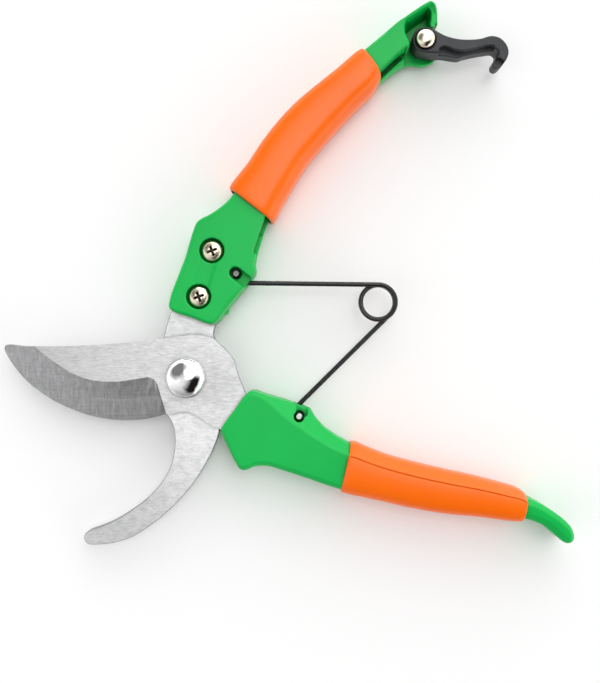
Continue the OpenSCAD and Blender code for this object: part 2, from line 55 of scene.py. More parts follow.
BLADE = 3.0          # mm, thickness of a blade
GAP = 0.05           # mm, left on each side of the meeting plane
TOP = MID + GAP + BLADE                   # mm, upper face of the cutting blade
WELD_GAP = 0.002     # mm, points of a CAD mesh closer than this are one

# ---------------------------------------------------------------- camera
CAMERA_HEIGHT = 260.0                     # mm above the meeting plane
CAMERA_AT = (37.7, 12.0, MID + CAMERA_HEIGHT)
VIEW_HEIGHT = 227.7                       # mm seen from top to bottom at the meeting plane
camera = bpy.data.objects.new("camera", bpy.data.cameras.new("camera"))
camera.location = [v * MM for v in CAMERA_AT]
camera.data.sensor_fit = "VERTICAL"
camera.data.angle = 2 * math.atan(VIEW_HEIGHT / 2 / CAMERA_HEIGHT)
camera.data.clip_start, camera.data.clip_end = 0.01, 10
bpy.context.collection.objects.link(camera)
bpy.context.scene.camera = camera

# ---------------------------------------------------------------- curves and meshes


def through(points, steps, closed=True):
    """A centripetal Catmull-Rom curve through the points; every column is carried along."""
    p = np.array(points, float)
    n = len(p)
    out = []
    for i in range(n if closed else n - 1):
        if closed:
            q = [p[(i + k - 1) % n] for k in range(4)]
        else:
            q = [p[min(max(i + k - 1, 0), n - 1)] for k in range(4)]
        d = [max(0.01, np.linalg.norm(q[k + 1][:2] - q[k][:2]) ** 0.5) for k in range(3)]
        t1, t2, t3 = d[0], d[0] + d[1], d[0] + d[1] + d[2]
        for k in range(steps):
            t = t1 + (t2 - t1) * k / steps
            a1 = q[0] * (t1 - t) / t1 + q[1] * t / t1
            a2 = q[1] * (t2 - t) / (t2 - t1) + q[2] * (t - t1) / (t2 - t1)
            a3 = q[2] * (t3 - t) / (t3 - t2) + q[3] * (t - t2) / (t3 - t2)
            b1 = a1 * (t2 - t) / t2 + a2 * t / t2
            b2 = a2 * (t3 - t) / (t3 - t1) + a3 * (t - t1) / (t3 - t1)
            out.append(b1 * (t2 - t) / (t2 - t1) + b2 * (t - t1) / (t2 - t1))
    if not closed:
        out.append(p[-1])
    return np.array(out)


def inward(p):
    """Unit normals that point into a counter-clockwise loop."""
    t = np.roll(p[:, :2], -1, 0) - np.roll(p[:, :2], 1, 0)
    t /= np.linalg.norm(t, axis=1)[:, None]
    return np.stack([-t[:, 1], t[:, 0]], 1)


def new_object(name, verts, faces):
    """A smooth-shaded mesh object from points in millimetres."""
    mesh = bpy.data.meshes.new(name)
    mesh.from_pydata([[c * MM for c in v] for v in verts], [], faces)
    mesh.update()
    bm = bmesh.new()
    bm.from_mesh(mesh)
    bmesh.ops.recalc_face_normals(bm, faces=bm.faces)
    bm.to_mesh(mesh)
    bm.free()
    for poly in mesh.polygons:
        poly.use_smooth = True
    obj = bpy.data.objects.new(name, mesh)
    bpy.context.collection.objects.link(obj)
    return obj


def loft(name, rings):
    """A skin over closed rings of equal length, with n-gon ends."""
    n, m = len(rings[0]), len(rings)
    verts = [list(v) for r in rings for v in r]
    faces = [(k * n + i, k * n + (i + 1) % n, (k + 1) * n + (i + 1) % n, (k + 1) * n + i)
             for k in range(m - 1) for i in range(n)]
    faces += [tuple(range(n - 1, -1, -1)), tuple(range((m - 1) * n, m * n))]
    return new_object(name, verts, faces)


def prism(name, outline, z0, z1):
    """An outline raised straight up from z0 to z1."""
    return loft(name, [[(x, y, z) for x, y in outline[:, :2]] for z in (z0, z1)])


def revolve(name, profile, at, segments):
    """A solid turned about a vertical axis; profile is (radius, z) from bottom to top."""
    angles = np.linspace(0, 2 * math.pi, segments, endpoint=False)
    return loft(name, [[(at[0] + r * math.cos(a), at[1] + r * math.sin(a), z) for a in angles]
                       for r, z in profile])


def baked(obj):
    """Applies the modifiers, so that the piece is its final mesh."""
    depsgraph = bpy.context.evaluated_depsgraph_get()
    mesh = bpy.data.meshes.new_from_object(obj.evaluated_get(depsgraph))
    obj.modifiers.clear()
    obj.data = mesh
    return obj


def cut(obj, tool):
    """Takes the tool's shape away from the piece, and removes the tool."""
    mod = obj.modifiers.new("cut", "BOOLEAN")
    mod.operation, mod.object, mod.solver = "DIFFERENCE", tool, "EXACT"
    baked(obj)
    bpy.data.objects.remove(tool)


def rounded_by_voxels(obj, voxel):
    """Remeshes the piece evenly and smooths it, which rounds every edge by about a voxel."""
    mod = obj.modifiers.new("voxels", "REMESH")
    mod.mode, mod.voxel_size, mod.use_smooth_shade = "VOXEL", voxel * MM, True
    mod = obj.modifiers.new("smooth", "SMOOTH")
    mod.factor, mod.iterations = 0.5, 4
    baked(obj)


def welded_copy(node):
    """A closed copy of a CAD node, for cutting with."""
    mesh = nodes[node].data.copy()
    bm = bmesh.new()
    bm.from_mesh(mesh)
    bmesh.ops.remove_doubles(bm, verts=bm.verts, dist=WELD_GAP * MM)
    bmesh.ops.recalc_face_normals(bm, faces=bm.faces)
    bm.to_mesh(mesh)
    bm.free()
    obj = bpy.data.objects.new("tool_" + node, mesh)
    bpy.context.collection.objects.link(obj)
    return obj


def weld(obj):
    obj.modifiers.new("weld", "WELD").merge_threshold = WELD_GAP * MM


def dissolve_flats(obj, angle=0.6):
    """Joins the triangles of each flat face, so that a bevel runs along its border only."""
    mod = obj.modifiers.new("planar", "DECIMATE")
    mod.decimate_type, mod.angle_limit = "DISSOLVE", math.radians(angle)


def bevel(obj, width, segments, angle):
    """Rounds the edges sharper than the angle, in degrees, by a width in millimetres."""
    mod = obj.modifiers.new("bevel", "BEVEL")
    mod.width, mod.segments = width * MM, segments
    mod.limit_method, mod.angle_limit = "ANGLE", math.radians(angle)
    return mod


def weighted_normals(obj):
    """Shades the flat faces flat and the roundings between them smooth."""
    mod = obj.modifiers.new("normals", "WEIGHTED_NORMAL")
    mod.keep_sharp, mod.weight = True, 60


# ---------------------------------------------------------------- materials


def shader(name, **sockets):
    """A Principled material; sockets that are the same all over are set on the shader itself."""
    mat = bpy.data.materials.new(name)
    mat.use_nodes = True
    tree = mat.node_tree
    bsdf = tree.nodes["Principled BSDF"]
    for key, value in sockets.items():
        bsdf.inputs[key.replace("_", " ")].default_value = value
    return mat, tree, bsdf


def node(tree, kind, **values):
    """A shader node; each value goes to the socket of that name, or else to the property."""
    n = tree.nodes.new("ShaderNode" + kind)
    for key, value in values.items():
        if key in n.inputs:
            n.inputs[key].default_value = value
        else:
            setattr(n, key, value)
    return n


def coordinates(tree, scale=(1, 1, 1), turn=(0, 0, 0)):
    """Object coordinates in millimetres, stretched for grain and brushing."""
    place = node(tree, "TexCoord")
    mapping = node(tree, "Mapping")
    mapping.inputs["Scale"].default_value = [s / MM for s in scale]
    mapping.inputs["Rotation"].default_value = [math.radians(a) for a in turn]
    tree.links.new(place.outputs["Object"], mapping.inputs["Vector"])
    return mapping.outputs["Vector"]


def noise(tree, vector, scale, detail=3.0, roughness=0.5, distortion=0.0):
    n = node(tree, "TexNoise", Scale=scale, Detail=detail, Roughness=roughness, Distortion=distortion)
    tree.links.new(vector, n.inputs["Vector"])
    return n.outputs["Fac"]


def ramp(tree, fac, stops):
    """A colour ramp through (place, colour) stops."""
    r = node(tree, "ValToRGB")
    while len(r.color_ramp.elements) < len(stops):
        r.color_ramp.elements.new(0.5)
    for e, (place, colour) in zip(r.color_ramp.elements, stops):
        e.position = place
        e.color = (*colour, 1)
    tree.links.new(fac, r.inputs["Fac"])
    return r.outputs["Color"]


def spread(tree, fac, low, high, lo_in=0.3, hi_in=0.7):
    """Maps lo_in..hi_in to low..high, held at the ends."""
    m = node(tree, "MapRange")
    m.inputs["From Min"].default_value, m.inputs["From Max"].default_value = lo_in, hi_in
    m.inputs["To Min"].default_value, m.inputs["To Max"].default_value = low, high
    tree.links.new(fac, m.inputs["Value"])
    return m.outputs["Result"]


def bump(tree, bsdf, height, strength, distance):
    b = node(tree, "Bump", Strength=strength, Distance=distance * MM)
    tree.links.new(height, b.inputs["Height"])
    tree.links.new(b.outputs["Normal"], bsdf.inputs["Normal"])


def maths(tree, op, a, b=None):
    """One Math node; a and b are numbers or sockets."""
    m = node(tree, "Math", operation=op)
    for i, v in enumerate((a, b)):
        if v is None:
            continue
        if isinstance(v, (int, float)):
            m.inputs[i].default_value = v
        else:
            tree.links.new(v, m.inputs[i])
    return m.outputs[0]


def mixed(tree, fac, a, b):
    """Colour a blended towards colour b by fac."""
    m = node(tree, "Mix", data_type="RGBA")
    for socket, v in ((m.inputs["Factor"], fac), (m.inputs[6], a), (m.inputs[7], b)):
        if isinstance(v, (int, float)):
            socket.default_value = v
        elif isinstance(v, tuple):
            socket.default_value = (*v, 1)
        else:
            tree.links.new(v, socket)
    return m.outputs[2]


def painted_crevice_shade(tree, colour, reach, depth):
    """Darkens a colour where other surfaces stand close by: painted shade in corners and recesses."""
    ao = node(tree, "AmbientOcclusion", samples=8)
    ao.inputs["Distance"].default_value = reach * MM
    shade = spread(tree, ao.outputs["AO"], depth, 1, 0.35, 0.85)
    scaled = node(tree, "VectorMath", operation="SCALE")
    tree.links.new(colour, scaled.inputs[0])
    tree.links.new(shade, scaled.inputs["Scale"])
    return scaled.outputs["Vector"]


def plastic(name, colour, variation, rough, grain=0.03, specular=0.5, coat=0.0, sheen=0.0,
            crevice_shade=0.0, scuffs=0.25):
    """Moulded plastic: faint flow-like tone changes, a fine skin, small scuffs in the gloss, and
    painted shade in corners where asked.

    variation and scuffs are shares of the colour and of the roughness; crevice is the brightness
    left by the painted shade in the deepest corners, 0 for no painted shade.
    """
    mat, tree, bsdf = shader(name, Metallic=0.0)
    bsdf.inputs["IOR"].default_value = 1.5
    bsdf.inputs["Specular IOR Level"].default_value = specular
    bsdf.inputs["Coat Weight"].default_value = coat
    bsdf.inputs["Coat Roughness"].default_value = 0.12
    if sheen:
        bsdf.inputs["Sheen Weight"].default_value = sheen
        bsdf.inputs["Sheen Roughness"].default_value = 0.35
        bsdf.inputs["Sheen Tint"].default_value = (1.0, 0.55, 0.48, 1)
    v = coordinates(tree)
    cloud = noise(tree, v, 0.045, 2)
    dark = tuple(c * (1 - variation) for c in colour)
    light = tuple(min(1, c * (1 + variation)) for c in colour)
    tone = ramp(tree, cloud, [(0.3, dark), (0.7, light)])
    # painted shade: the colour is darkened where other surfaces stand close
    if crevice_shade:
        tone = painted_crevice_shade(tree, tone, 2.5, crevice_shade)
    tree.links.new(tone, bsdf.inputs["Base Color"])
    scuff = noise(tree, coordinates(tree, (1, 0.25, 1), (0, 0, 35)), 0.6, 4, 0.5)
    tree.links.new(spread(tree, scuff, rough * (1 - scuffs), rough * (1 + scuffs)),
                   bsdf.inputs["Roughness"])
    skin = noise(tree, v, 2.2, 3, 0.5)
    bump(tree, bsdf, skin, grain, 0.1)
    return mat


def steel(name, flat_tone, turn, rough, grind_and_edge_shade_tone, mottling, stretch):
    """Bare steel ground along one direction; the grind's darker crossing lines are its finish, the
    edges' darker tone is painted shade.
    """
    mat, tree, bsdf = shader(name, Metallic=1.0)
    bsdf.inputs["Anisotropic"].default_value = 0.3
    # the flat faces: fine lines, a second set that crosses them, and cloudy mottling
    fine = noise(tree, coordinates(tree, (stretch, 2.4, 1), (0, 0, turn)), 2.6, 5, 0.65, 0.2)
    crossing = noise(tree, coordinates(tree, (stretch, 1.5, 1), (0, 0, turn + 24)), 1.6, 5, 0.6, 0.4)
    patches = noise(tree, coordinates(tree, (1, 1.4, 1)), 0.35, 5, 0.7)
    lines = maths(tree, "ADD", maths(tree, "MULTIPLY", fine, 0.6),
                  maths(tree, "MULTIPLY", crossing, 0.4))
    tone = ramp(tree, lines, [(0.36, flat_tone[0]), (0.62, flat_tone[1])])
    tone = mixed(tree, spread(tree, patches, 0, mottling, 0.42, 0.72), tone, (0.33, 0.33, 0.34))
    gloss = spread(tree, lines, rough * 1.25, rough * 0.8)
    # the grind: long wheel marks across it, broader streaks, and a few lines along the edge
    cross = noise(tree, coordinates(tree, (2.2, 0.09, 1), (0, 0, -6)), 2.0, 5, 0.65, 0.3)
    streaks = noise(tree, coordinates(tree, (0.9, 0.05, 1), (0, 0, 8)), 1.4, 4, 0.6, 0.8)
    along = noise(tree, coordinates(tree, (0.06, 1.8, 1), (0, 0, 4)), 1.7, 4, 0.6, 0.3)
    marks = maths(tree, "ADD", maths(tree, "MULTIPLY", cross, 0.4),
                  maths(tree, "MULTIPLY", streaks, 0.35))
    marks = maths(tree, "ADD", marks, maths(tree, "MULTIPLY", along, 0.25))
    ground_and_edge_shade = ramp(tree, marks, [(0.38, grind_and_edge_shade_tone[0]), (0.62, grind_and_edge_shade_tone[1])])
    # a face that doesn't lie level is the grind or an edge; on the edges and walls the darker tone is
    # painted shade
    split = node(tree, "SeparateXYZ")
    geometry = node(tree, "NewGeometry")
    tree.links.new(geometry.outputs["True Normal"], split.inputs[0])
    upright = maths(tree, "ABSOLUTE", split.outputs["Z"])
    on_grind_or_shaded_edge = spread(tree, upright, 1, 0, 0.99, 0.998)
    # painted shade where other surfaces stand close
    tone = painted_crevice_shade(tree, mixed(tree, on_grind_or_shaded_edge, tone, ground_and_edge_shade), 2.0, 0.45)
    gloss = maths(tree, "ADD", gloss, maths(tree, "MULTIPLY", on_grind_or_shaded_edge, 0.08))
    off_grind = maths(tree, "SUBTRACT", 1.0, on_grind_or_shaded_edge)
    height = maths(tree, "ADD", maths(tree, "MULTIPLY", off_grind, lines),
                   maths(tree, "MULTIPLY", on_grind_or_shaded_edge, marks))
    tree.links.new(tone, bsdf.inputs["Base Color"])
    tree.links.new(gloss, bsdf.inputs["Roughness"])
    bump(tree, bsdf, height, 0.15, 0.02)
    return mat


# the upper screws' cross recesses are painted nearly black as shade
RECESS_RADIUS, RECESS_TOP = 2.45, 13.85      # mm, of the cross in a screw head
RECESS_SIDE_BLUR, RECESS_TOP_BLUR = 0.25, 0.35
UPPER_SCREWS = ((4.7, 26.6), (9.0, 41.6))


def recess_shade_mask(tree, centres):
    """1 inside the cross recesses of screws that stand upright at the given places, where shade is
    painted.
    """
    place = node(tree, "TexCoord")
    split = node(tree, "SeparateXYZ")
    tree.links.new(place.outputs["Object"], split.inputs[0])
    level = node(tree, "CombineXYZ")
    tree.links.new(split.outputs["X"], level.inputs["X"])
    tree.links.new(split.outputs["Y"], level.inputs["Y"])
    near = None
    for x, y in centres:
        gap = node(tree, "VectorMath", operation="DISTANCE")
        tree.links.new(level.outputs[0], gap.inputs[0])
        gap.inputs[1].default_value = (x * MM, y * MM, 0)
        inside = spread(tree, gap.outputs["Value"], 1, 0,
                        (RECESS_RADIUS - RECESS_SIDE_BLUR) * MM, RECESS_RADIUS * MM)
        near = inside if near is None else maths(tree, "MAXIMUM", near, inside)
    deep = spread(tree, split.outputs["Z"], 1, 0,
                  (RECESS_TOP - RECESS_TOP_BLUR) * MM, RECESS_TOP * MM)
    return maths(tree, "MULTIPLY", near, deep)


def plated(name, colour, rough, stain=(0.4, 0.3, 0.2), stain_share=0.15, crevice_shade=0.0,
           shaded_recesses=()):
    """Plated metal: nearly mirror-like, with faint haze and spots, and where asked painted shade in
    crevices and screw recesses.
    """
    mat, tree, bsdf = shader(name, Metallic=1.0)
    haze = noise(tree, coordinates(tree), 0.5, 4, 0.6)
    spots = noise(tree, coordinates(tree), 1.6, 5, 0.7)
    tone = mixed(tree, spread(tree, haze, 0, stain_share, 0.45, 0.75), colour, stain)
    # painted shade in corners and recesses
    if crevice_shade:
        tone = painted_crevice_shade(tree, tone, 1.6, crevice_shade)
    # painted shade: the screws' cross recesses are coloured nearly black
    if shaded_recesses:
        tone = mixed(tree, recess_shade_mask(tree, shaded_recesses), tone, (0.03, 0.024, 0.018))
    tree.links.new(tone, bsdf.inputs["Base Color"])
    tree.links.new(spread(tree, spots, rough * 0.7, rough * 1.6), bsdf.inputs["Roughness"])
    bump(tree, bsdf, spots, 0.03, 0.02)
    return mat


GREEN = (0.001, 0.455, 0.072)
ORANGE = (1.0, 0.150, 0.0)
ZINC, ZINC_STAIN = (0.88, 0.79, 0.62), (0.50, 0.34, 0.16)
# the crevice values set how dark the painted shade in corners gets
green = plastic("green_plastic", GREEN, 0.05, 0.34, specular=0.28, crevice_shade=0.34, scuffs=0.1)
orange = plastic("orange_vinyl", ORANGE, 0.04, 0.30, grain=0.004, specular=0.34, coat=0.08,
                 sheen=0.10, crevice_shade=0.6, scuffs=0.08)
black = plastic("latch_plastic", (0.016, 0.018, 0.021), 0.25, 0.42, specular=0.45, crevice_shade=0.45,
                scuffs=0.12)
wire_black = plastic("black_wire", (0.006, 0.006, 0.007), 0.3, 0.26)
# the second pair of tones is the grind's own finish and, on edges and walls, painted shade
blade_steel = steel("brushed_blade", ((0.50, 0.50, 0.505), (0.80, 0.80, 0.805)), 12, 0.30,
                    ((0.28, 0.28, 0.285), (0.52, 0.52, 0.53)), 0.25, 0.22)
hook_steel = steel("brushed_hook", ((0.64, 0.64, 0.645), (0.92, 0.92, 0.925)), -24, 0.34,
                   ((0.22, 0.22, 0.225), (0.40, 0.40, 0.41)), 0.35, 0.3)
chrome = plated("bolt_chrome", (0.92, 0.92, 0.93), 0.05)
zinc = plated("screw_plating", ZINC, 0.22, ZINC_STAIN, 0.4, crevice_shade=0.02)
zinc_recess_shaded = plated("cross_screw_plating_shaded_recess", ZINC, 0.22, ZINC_STAIN, 0.4, shaded_recesses=UPPER_SCREWS)
# the upper spring pin sits deep in its hole: its dark grey is painted shade on the same steel as the
# lower pin
upper_pin_shaded_steel = plated("pin_steel_painted_shade", (0.20, 0.20, 0.20), 0.32)
nickel = plated("rivet_plating", (0.93, 0.86, 0.70), 0.16, (0.62, 0.50, 0.30), 0.35)
bare = plated("pin_steel", (0.60, 0.59, 0.58), 0.24)
nut_steel = plated("nut_steel", (0.66, 0.66, 0.67), 0.24)


def dress(obj, mat):
    """Gives a new piece its material."""
    obj.data.materials.clear()
    obj.data.materials.append(mat)
    return obj


def paint(name, mat):
    """Gives a carried CAD node its material through its object's slots."""
    obj = nodes[name]
    for slot in obj.material_slots:
        slot.link = "OBJECT"
        slot.material = mat
    return obj


# ---------------------------------------------------------------- carried CAD nodes
for name, mat, width in (("hook_blade", hook_steel, 0.22), ("lower_screws", zinc, 0.08),
                         ("upper_screws", zinc_recess_shaded, 0), ("upper_spring_pin", upper_pin_shaded_steel, 0.2),
                         ("lower_spring_pin", bare, 0.3), ("pivot_washer", nut_steel, 0.1),
                         ("pivot_nut", nut_steel, 0.15)):
    carried = paint(name, mat)
    weld(carried)
    dissolve_flats(carried)
    if width:
        bevel(carried, width, 3, 32).use_clamp_overlap = False
    weighted_normals(carried)
# the cutting blade's grind is curved, and its triangles are left as they are
carried = paint("cutting_blade", blade_steel)
weld(carried)
bevel(carried, 0.28, 2, 35)

# ---------------------------------------------------------------- moulded handles
HANDLE_VOXEL, LATCH_VOXEL = 0.28, 0.16    # mm, which also set how round the edges are
# right edge of the upper handle, from its blade end to the latch
UPPER_EDGE = [(22.6, 33.9), (23.1, 35.2), (22.9, 38.2), (24.6, 44.6), (27.3, 52), (30.7, 57.7),
              (38.9, 71.4), (51.2, 85.6), (61.4, 95.7), (66.5, 100.4), (71.9, 105.4), (74, 106.9)]
# stretch of that edge as a share of its points, and how far the front half stands back there
SLOTS = [(0.22, 0.46, 1.2), (0.70, 0.97, 2.0)]
STOP = (0.30, 0.47)  # stretch where a wall closes the hollow, towards the blade end
LIP_WIDTH = 0.85     # mm of the back half left outside the slot
# outer edge of the cup round the latch, from the front half's end to the flange, with its rim's z
CUP_EDGE = [(67.5, 114.6, 13.7), (70.6, 117.0, 13.6), (73.5, 119.2, 13.4), (76.5, 121.3, 13.2),
            (79, 122.9, 13.0), (80.4, 123.6, 12.8), (81.6, 123.3, 12.6), (82.4, 122.2, 12.4),
            (82.8, 120.4, 12.0), (83, 118.6, 11.4), (83.2, 116.6, 10.4)]
# inset from that edge and share of the height above the flange; the last is the inside's foot
CUP_SECTION = [(0, 0), (0, .5), (0, .93), (.12, .98), (.4, 1), (.75, .985), (1.1, .93), (1.45, .80),
               (1.75, .62), (2.0, .4), (2.2, .2), (2.35, 0)]
FLANGE = 4.3         # mm, z of the flange's upper face
# where the front half of the lower handle is cut down beside the spring's pin
LOWER_NOTCH = [(36.5, -12.7), (40.1, -12.7), (40.1, -1), (36.5, -1)]


def band(path, near, far, z0, z1, name):
    """A prism that follows a path, between two distances to its left."""
    t = np.gradient(path[:, :2], axis=0)
    t /= np.linalg.norm(t, axis=1)[:, None]
    left = np.stack([-t[:, 1], t[:, 0]], 1)
    outline = np.concatenate([path[:, :2] + left * near, (path[:, :2] + left * far)[::-1]])
    return prism(name, outline, z0, z1)


def moulded(node_name, body, tools=(), additions=()):
    """A plastic half: the CAD shape with extra cuts and additions and softly rounded edges."""
    obj = welded_copy(node_name)
    obj.name = node_name + "_moulding"
    for tool in tools:
        cut(obj, tool)
    if additions:
        with bpy.context.temp_override(active_object=obj, selected_editable_objects=[obj, *additions]):
            bpy.ops.object.join()
    rounded_by_voxels(obj, HANDLE_VOXEL)
    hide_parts(node_name)
    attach(dress(obj, green), body)


edge = through(UPPER_EDGE, 10, closed=False)


def stretch(start, end):
    """The part of the upper handle's edge between two shares of its points."""
    return edge[int(start * len(edge)):int(end * len(edge))]


# each band: its path, near and far distance to the path's left, bottom and top, all in mm
stretches = [(stretch(a, b), depth) for a, b, depth in SLOTS]
front_cuts = [band(path, -1.5, depth, MID - 0.5, MID + 8, "front_cut") for path, depth in stretches]
far_path, far_depth = stretches[1]
back_cuts = [band(far_path, LIP_WIDTH, far_depth + 0.5, MID - 3.0, MID + 2, "back_cut")]
stop = stretch(*STOP)
front_stop = band(stop, 1.2, 9, MID + 2.4, MID + 3.6, "front_stop")
back_lip = band(stop, 0.05, 2.6, MID - 1.55, MID - 1.0, "back_lip")
back_stop = band(stop, 2.2, 9, MID - 3.4, MID - 1.0, "back_stop")

cup_path = through(CUP_EDGE, 6, closed=False)
step = np.gradient(cup_path[:, :2], axis=0)
step /= np.linalg.norm(step, axis=1)[:, None]
to_right = np.stack([step[:, 1], -step[:, 0]], 1)
cup = loft("cup", [[(x + nx * inset, y + ny * inset, FLANGE + (rim - FLANGE) * up)
                    for inset, up in CUP_SECTION]
                   for (x, y, rim), (nx, ny) in zip(cup_path, to_right)])

moulded("upper_handle_front", "upper_arm", front_cuts, [front_stop])
moulded("upper_handle_back", "upper_arm", back_cuts, [cup, back_stop, back_lip])
notch = prism("notch", np.array(LOWER_NOTCH, float), 9.0, 20)
moulded("lower_handle_front", "lower_arm", [notch])
moulded("lower_handle_back", "lower_arm")

# ---------------------------------------------------------------- pivot bolt and rivet


def dome(radius, low, rim, high, count=14):
    """Profile of a domed head from its underside up."""
    return [(radius - 0.25, low), (radius - 0.07, low + 0.07), (radius, low + 0.25), (radius, rim)] + [
        (radius * math.cos(a), rim + (high - rim) * math.sin(a))
        for a in np.linspace(0.07, math.pi / 2 - 0.02, count)]


def turned(name, profile, at, mat, body, node_name):
    """A turned piece in place of a CAD node."""
    obj = revolve(name, profile, at, 128)
    weighted_normals(dress(obj, mat))
    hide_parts(node_name)
    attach(obj, body)


# radii and heights in mm
turned("pivot_bolt_turned",
       [(2.6, 0), (3, 0.35), (3, TOP)] + dome(6.5, TOP, TOP + 0.55, TOP + 3.2),
       (0, 0), chrome, "lower_arm", "pivot_bolt")
LATCH_AT, LATCH_LOW, LATCH_HIGH = (78.8, 111.1), 5.0, 12.3
turned("latch_rivet_turned", [(1.9, 1.3), (2, 1.4), (2, LATCH_HIGH + 0.1)]
       + dome(3.05, LATCH_HIGH + 0.1, LATCH_HIGH + 0.7, LATCH_HIGH + 2.0),
       LATCH_AT, nickel, "upper_arm", "latch_rivet")

# ---------------------------------------------------------------- latch
# outline, with the share of the edge rounding that each point takes
LATCH_EDGE = [
    (75.9, 114.3, 1), (74.5, 111.1, 1), (75.8, 107.9, 1), (78.8, 106.8, 1), (81.5, 106.6, 1),
    (85.2, 106.5, 1), (89.1, 105.9, 1), (90.6, 105.9, 1), (92, 106.4, 1), (95, 107.1, 1),
    (98.9, 107.8, 1), (101.7, 108, 1), (102.7, 107, 1), (102.3, 105.4, 1), (101.3, 103.9, .7),
    (101.5, 102.6, .5), (102.7, 102, .5), (104, 102.7, .7), (105.8, 105.2, 1), (106.2, 107.2, 1),
    (105.6, 109.3, 1), (103.3, 111.7, 1), (100.4, 112.3, 1), (97, 111.4, 1), (93, 111.1, 1),
    (89.1, 111.4, 1), (85.2, 112.5, 1), (81.3, 114.6, 1), (79.5, 115.2, 1)]
# where the top face steps down: a ledge for the thumb along the side, and the claw's point
LEDGE = [(83.2, 104), (83.6, 108.3), (85.2, 108.9), (87.4, 108.1), (89.5, 107.5), (92, 107.5),
         (95, 108.0), (98, 108.8), (100, 109.1), (101.4, 108.9), (101.6, 104)]
CLAW_STEP = [(99, 103.6), (101.5, 104.9), (103, 105), (104.4, 104.1), (105.2, 103), (106, 100),
             (99, 100)]
LEDGE_DEPTH, CLAW_DEPTH = 2.6, 2.0   # mm below the top face
EDGE_ROUND = [(0.55, 0.0), (0.25, 0.10), (0.08, 0.28), (0, 0.6)]     # inset, height from the face

outline = through(LATCH_EDGE, 6)
normals = inward(outline)
levels = [(inset, LATCH_LOW + h) for inset, h in EDGE_ROUND]
levels += [(inset, LATCH_HIGH - h) for inset, h in reversed(EDGE_ROUND)]
latch = loft("latch_lever_moulding",
             [[(x, y, z) for x, y in outline[:, :2] + normals * (inset * outline[:, 2])[:, None]]
              for inset, z in levels])
for name, shape, depth in (("ledge", LEDGE, LEDGE_DEPTH), ("claw_step", CLAW_STEP, CLAW_DEPTH)):
    cut(latch, prism(name, through(shape, 6, closed=False), LATCH_HIGH - depth, LATCH_HIGH + 2))
# the rivet's hole, with a shallow seat for its head
cut(latch, revolve("rivet_recess",
                   [(2.05, LATCH_LOW - 1), (2.05, LATCH_HIGH - 0.5), (3.5, LATCH_HIGH - 0.5),
                    (3.5, LATCH_HIGH + 1)], LATCH_AT, 64))
rounded_by_voxels(latch, LATCH_VOXEL)
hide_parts("latch_lever")
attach(dress(latch, black), "latch")

# ---------------------------------------------------------------- sleeves
# each side of a sleeve from its blade end to its far end
UPPER_OUTSIDE = [(14.3, 62.3), (15, 63.9), (20.3, 70.6), (25.2, 78), (31.1, 85.4), (37, 91.4),
                 (43.4, 96.7), (49.8, 101.8), (56.6, 107.5), (57.9, 108)]
UPPER_INSIDE = [(28.6, 51.2), (29.5, 52.1), (31.9, 57), (34.5, 61.5), (40, 70.5), (46.1, 77.7),
                (52.2, 84.6), (57.8, 90.5), (62.3, 94.8), (64.6, 99)]
LOWER_OUTSIDE = [(50.8, -37.3), (52.3, -38), (61.6, -40), (73.5, -42.7), (85.3, -44.7),
                 (97.1, -45.8), (106.9, -47.1), (110.4, -47.2)]
LOWER_INSIDE = [(54.5, -21.2), (56.4, -21.4), (59, -22.6), (66.4, -25.5), (75.6, -28.1),
                (85.7, -30.5), (95.9, -32.7), (106, -35.4), (110, -36.6), (112.3, -38.1)]
# a sleeve's section: share of the width from the outside, share of the half thickness
ROUNDED = [(0, 0), (0, .2), (.004, .38), (.014, .56), (.034, .71), (.064, .825), (.105, .905),
           (.16, .955), (.24, .985), (.36, .998), (.5, 1), (.62, .994), (.72, .975), (.80, .94),
           (.865, .88), (.915, .79), (.955, .65), (.984, .45), (.998, .22), (1, 0)]
# the dip between .722 and .770 is the groove beside the ridge
RIDGED = [(0, 0), (0, .25), (.006, .42), (.02, .57), (.05, .715), (.062, .735), (.085, .80),
          (.13, .88), (.20, .94), (.30, .98), (.42, .998), (.54, 1), (.64, .99), (.70, .978),
          (.722, .974), (.730, .955), (.741, .895), (.746, .893), (.762, .940), (.770, .938),
          (.79, .885), (.815, .825), (.85, .74), (.91, .59), (.955, .44), (.985, .28),
          (1, .1), (1, 0)]
UNDERSIDE = [(1, -.15), (.994, -.35), (.98, -.55), (.955, -.72), (.915, -.85), (.86, -.94),
             (.78, -.99), (.68, -1), (.32, -1), (.22, -.99), (.14, -.94), (.085, -.85),
             (.045, -.72), (.02, -.55), (.006, -.35), (0, -.15)]
WALL = 1.1           # mm
SLEEVE_RINGS = 44    # sections between the two lips
LIP = [(0.0, 0.55), (0.12, 0.28), (0.32, 0.09), (0.6, 0.0)]      # mm along the sleeve, mm of inset


def along(points, shares):
    """Points at given shares of a curve's length, and that length in millimetres."""
    p = through(points, 12, closed=False)
    run = np.concatenate([[0], np.cumsum(np.linalg.norm(np.diff(p, axis=0), axis=1))])
    at = [share * run[-1] for share in shares]
    return np.stack([np.interp(at, run, p[:, k]) for k in (0, 1)], 1), run[-1]


